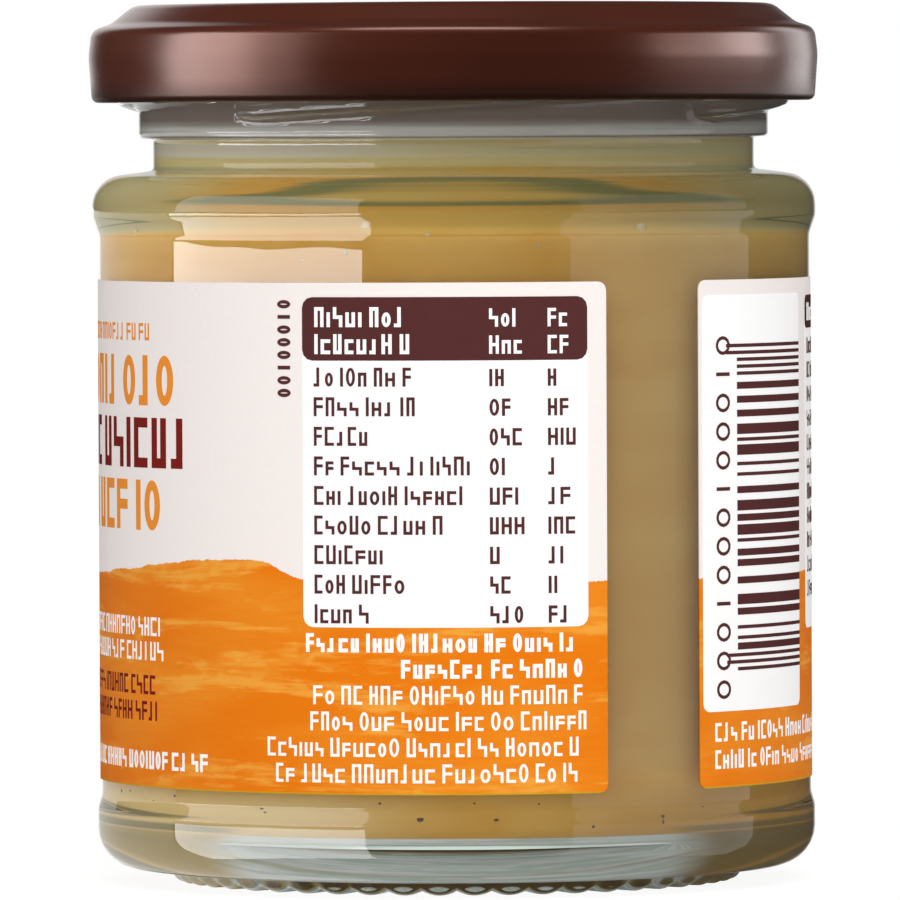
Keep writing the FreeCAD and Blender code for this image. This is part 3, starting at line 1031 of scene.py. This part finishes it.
def make_floor():
    """Pale floor that keeps the jar's shadow and glows where glass looks through to it."""
    bm = bmesh.new()
    bmesh.ops.create_grid(bm, x_segments=1, y_segments=1, size=6.0)
    mesh = bpy.data.meshes.new("floor")
    bm.to_mesh(mesh)
    bm.free()
    floor = bpy.data.objects.new("floor", mesh)
    bpy.context.scene.collection.objects.link(floor)
    finish = new_finish("floor_white")
    light = finish.add("ShaderNodeLightPath")
    plain = finish.add("ShaderNodeBsdfDiffuse", None, {"Color": (0.7, 0.7, 0.7, 1)})
    glow = finish.add("ShaderNodeEmission", None, {"Color": (1, 1, 1, 1), "Strength": 1.08})
    through = 0.85 - 0.5 * finish.ramp(finish.split(finish.place())[0], -0.06, 0.07)
    seen = light["Is Camera Ray"] * 0.85 + light["Is Transmission Ray"] * through
    both = finish.add("ShaderNodeMixShader", None, {0: seen, 1: plain[0], 2: glow[0]})
    finish.add("ShaderNodeOutputMaterial", None, {"Surface": both[0]})
    mesh.materials.append(finish.owner)
    floor.visible_glossy = False


def make_world():
    """White to the camera and through glass, a dim room in reflections, an even dome for the rest."""
    world = bpy.data.worlds.new("studio")
    bpy.context.scene.world = world
    world.cycles.sampling_method = "NONE"
    finish = Finish(world)
    light = finish.add("ShaderNodeLightPath")
    way = finish.add("ShaderNodeTexCoord")["Generated"]
    parts = finish.split(way)
    side, back, high = parts[0], parts[1], parts[2]
    through = light["Is Transmission Ray"]
    mirrored = 0.05 + finish.ramp(back, 0.965, 0.995) * 0.6
    refracted = 0.25 + finish.ramp(back, 0.72, 0.90) * 0.70
    seen = light["Is Camera Ray"] + through * refracted + light["Is Glossy Ray"] * mirrored
    # What lies behind glass is lit by its own dome alone, which holds the lamps' share too.
    dome = 0.55 + finish.ramp(high, 0.1, 0.9) * 0.4
    glass_dome = 1.14 - side * 1.05 + finish.ramp(high, 0.0, 0.9) * 0.7
    lit = through * glass_dome + (1 - through) * dome
    bounced = light["Diffuse Depth"] > 0.5
    strength = (1 - bounced) * seen + bounced * lit
    shade = finish.add("ShaderNodeBackground", None, {"Color": (1, 1, 1, 1), "Strength": strength})
    finish.add("ShaderNodeOutputWorld", None, {"Surface": shade[0]})


def make_lamp(name, azimuth, height, distance, wide, tall, level, glossy=True, diffuse=True, drop=0.0):
    """A flat lamp facing the jar; azimuth in degrees from the front towards +X.

    Level is how bright its face is, and drop tips that face downwards.
    """
    turn = math.radians(azimuth)
    place = Vector((distance * math.sin(turn), -distance * math.cos(turn), height))
    aim = Vector((0, 0, height - drop))
    data = bpy.data.lights.new(name, "AREA")
    data.shape = "RECTANGLE"
    data.size = wide
    data.size_y = tall
    data.energy = level * wide * tall * math.pi
    lamp = bpy.data.objects.new(name, data)
    lamp.location = place
    lamp.rotation_euler = (aim - place).to_track_quat("-Z", "Y").to_euler()
    lamp.visible_camera = False
    lamp.visible_transmission = False
    lamp.visible_glossy = glossy
    lamp.visible_diffuse = diffuse
    bpy.context.scene.collection.objects.link(lamp)
    return lamp


def light_only(lamp, piece):
    """Keep a lamp's light to one piece."""
    group = bpy.data.collections.new(lamp.name + "_on")
    group.objects.link(piece)
    lamp.light_linking.receiver_collection = group


def window(name, first, last, level, piece, low=-0.3, high=0.75, distance=1.0, diffuse=False):
    """A lamp between two azimuths that only one piece mirrors."""
    middle = (first + last) / 2
    wide = 2 * distance * math.tan(math.radians(abs(last - first) / 2))
    lamp = make_lamp(name, middle, (low + high) / 2, distance, wide, high - low, level, True, diffuse)
    light_only(lamp, piece)


def make_camera():
    """A long lens in front, a little above the middle of the jar."""
    data = bpy.data.cameras.new("camera")
    data.sensor_width = 36
    data.lens = 480
    data.clip_start = 0.05
    data.clip_end = 50
    camera = bpy.data.objects.new("camera", data)
    camera.location = (-0.00046, -1.142, 0.0722)
    aim = Vector((-0.00046, 0, 0.0408))
    facing = (aim - camera.location).to_track_quat("-Z", "Y").to_matrix()
    camera.rotation_euler = (facing @ turned_by(-0.26)).to_euler()
    bpy.context.scene.collection.objects.link(camera)
    bpy.context.scene.camera = camera


# ---------------------------------------------------------------- making

glass = make_glass(clear_glass())
make_butter(nut_butter())
lid = make_lid(lid_lacquer(), lid_inside())
make_label(painted_paper())
white = ink("ink_white", (252, 251, 250), (255, 255, 255))
brown = ink("ink_brown", (84, 42, 42), (90, 48, 47))
finish_print(print_white(), "print_white", white, 1)
finish_print(print_brown(), "print_brown", brown, 2)
finish_print(print_on_top(), "print_on_brown", white, 3)
finish_print(print_orange(), "print_orange", ink("ink_orange", (235, 140, 40), (240, 150, 52)), 1)
finish_print(print_red(), "print_red", ink("ink_red", (124, 22, 16), (132, 28, 22)), 1)
finish_print(print_nuts(), "print_nuts", ink("ink_nut", (232, 196, 132), (243, 214, 158)), 2)
finish_print(print_nut_marks(), "print_nut_marks", ink("ink_nut_mark", (196, 140, 70), (206, 152, 84)), 3)

make_floor()
make_world()
# The windows leave out two heights, in metres. They keep mirrored light off the strip under
# the label and off the finish.
STRIP_LOW, STRIP_HIGH = -0.0478, 0.035
FINISH_LOW, FINISH_HIGH = 0.063, 0.082
for name, first, last in (("left", -101, -62), ("near", -62, -29)):
    window("glass_" + name, first, last, 5.8, glass, low=-0.8, high=STRIP_LOW)
    window("glass_middle_" + name, first, last, 8.0, glass, low=STRIP_HIGH, high=FINISH_LOW)
window("glass_far_left", -172, -101, 0.7, glass, low=-0.8, high=FINISH_LOW, distance=0.5)
window("glass_right", 37, 109, 0.9, glass, low=-0.8, high=FINISH_LOW)
window("glass_high", -98, -30, 2.4, glass, low=FINISH_HIGH)
window("glass_high_right", 40, 105, 0.6, glass, low=FINISH_HIGH)
window("lid_left", -101, -66, 10.0, lid, low=-0.15, diffuse=True)
window("lid_left_front", -66, -48, 3.4, lid, low=-0.15, diffuse=True)
window("lid_right", 66, 95, 4.6, lid, low=0.0, high=0.4, diffuse=True)
window("lid_right_back", 95, 116, 8.5, lid, low=0.04, high=0.4, diffuse=True)
window("lid_right_rim", 130, 152, 2.4, lid, low=-0.1, high=0.6)
window("lid_left_rim", -178, -158, 1.2, lid, low=-0.1, high=0.6)
make_lamp("key", 10, 1.1, 0.8, 0.8, 0.8, 6.5, glossy=False, drop=0.11)
light_only(make_lamp("lid_top", -8, 1.4, 0.35, 0.9, 0.7, 11.5, drop=0.14), lid)
make_camera()
bpy.context.scene.view_settings.view_transform = "Standard"
